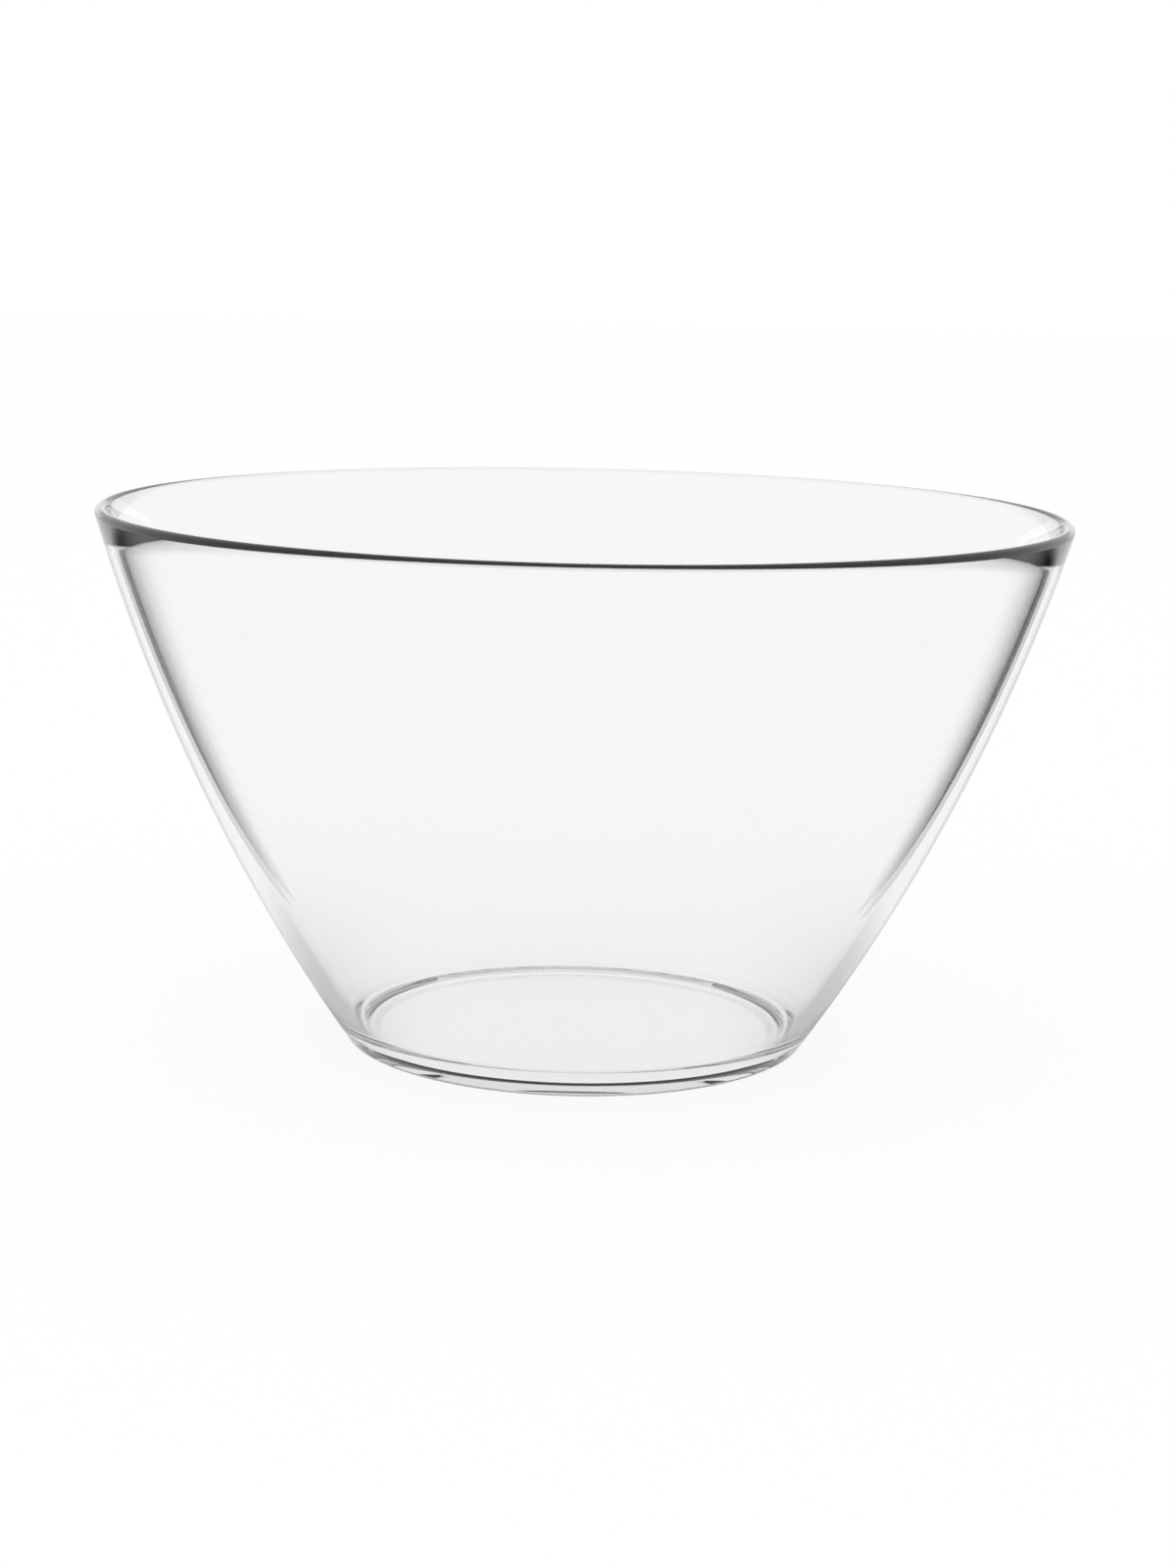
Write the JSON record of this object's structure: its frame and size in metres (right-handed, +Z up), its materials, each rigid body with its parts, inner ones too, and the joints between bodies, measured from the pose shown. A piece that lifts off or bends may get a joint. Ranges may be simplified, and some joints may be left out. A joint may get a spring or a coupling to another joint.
{
  "type": "salad bowl",
  "caption": "Conical salad bowl of clear glass with a gently bowed wall, a lip that thins from the inside, a flat floor and a very shallow hollow under the base, for tossing and serving food.",
  "frame": {"origin": "middle of the ring that the bowl stands on, at table height", "axes": "+Z up along the bowl's axis of revolution; X and Y lie in the table's plane and are alike"},
  "size_m": [0.28, 0.28, 0.1565],
  "materials": {
    "clear_glass": "fire-polished clear soda-lime glass"
  },
  "bodies": {
    "root": {"glass_bowl": "clear_glass"}
  },
  "joints": []
}
